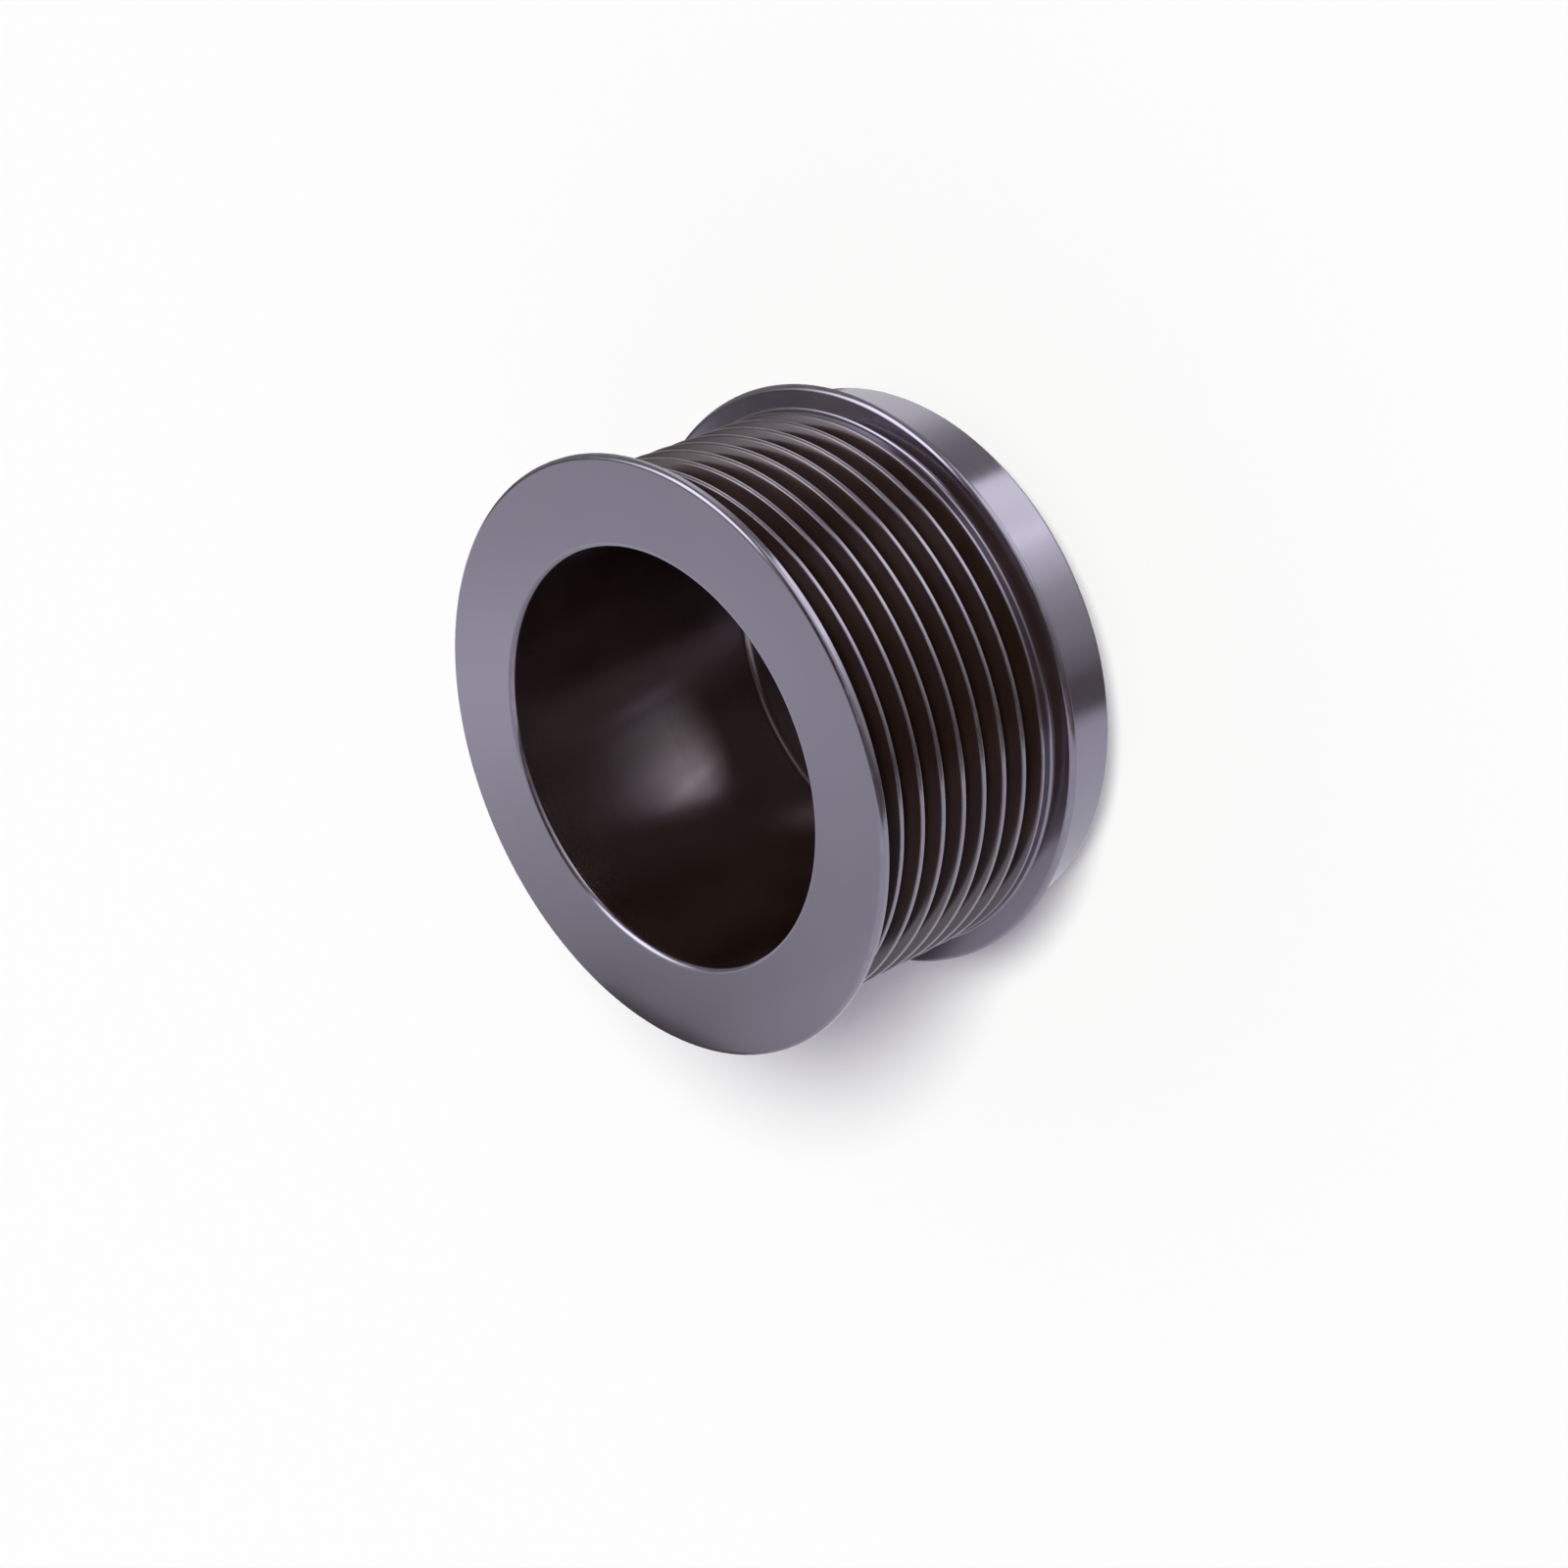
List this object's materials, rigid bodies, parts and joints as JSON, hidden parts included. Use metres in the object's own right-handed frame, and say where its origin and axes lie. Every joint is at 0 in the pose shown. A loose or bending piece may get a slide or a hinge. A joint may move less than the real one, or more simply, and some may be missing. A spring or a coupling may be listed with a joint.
{
  "type": "alternator pulley",
  "caption": "Turned multi-rib belt pulley with a flange each side of the grooves, a deep cup in front and a bored hub behind that is clamped on an alternator shaft.",
  "frame": {"origin": "centre of the hub's end face, which is the lowest face", "axes": "+Z along the shaft axis, out of the cup's open mouth; X and Y are free, because the part is turned"},
  "size_m": [0.0776, 0.0776, 0.0498],
  "materials": {
    "anodised_metal": "black hard anodised, satin, with fine turning marks"
  },
  "bodies": {
    "root": {"pulley": "anodised_metal"}
  },
  "joints": []
}
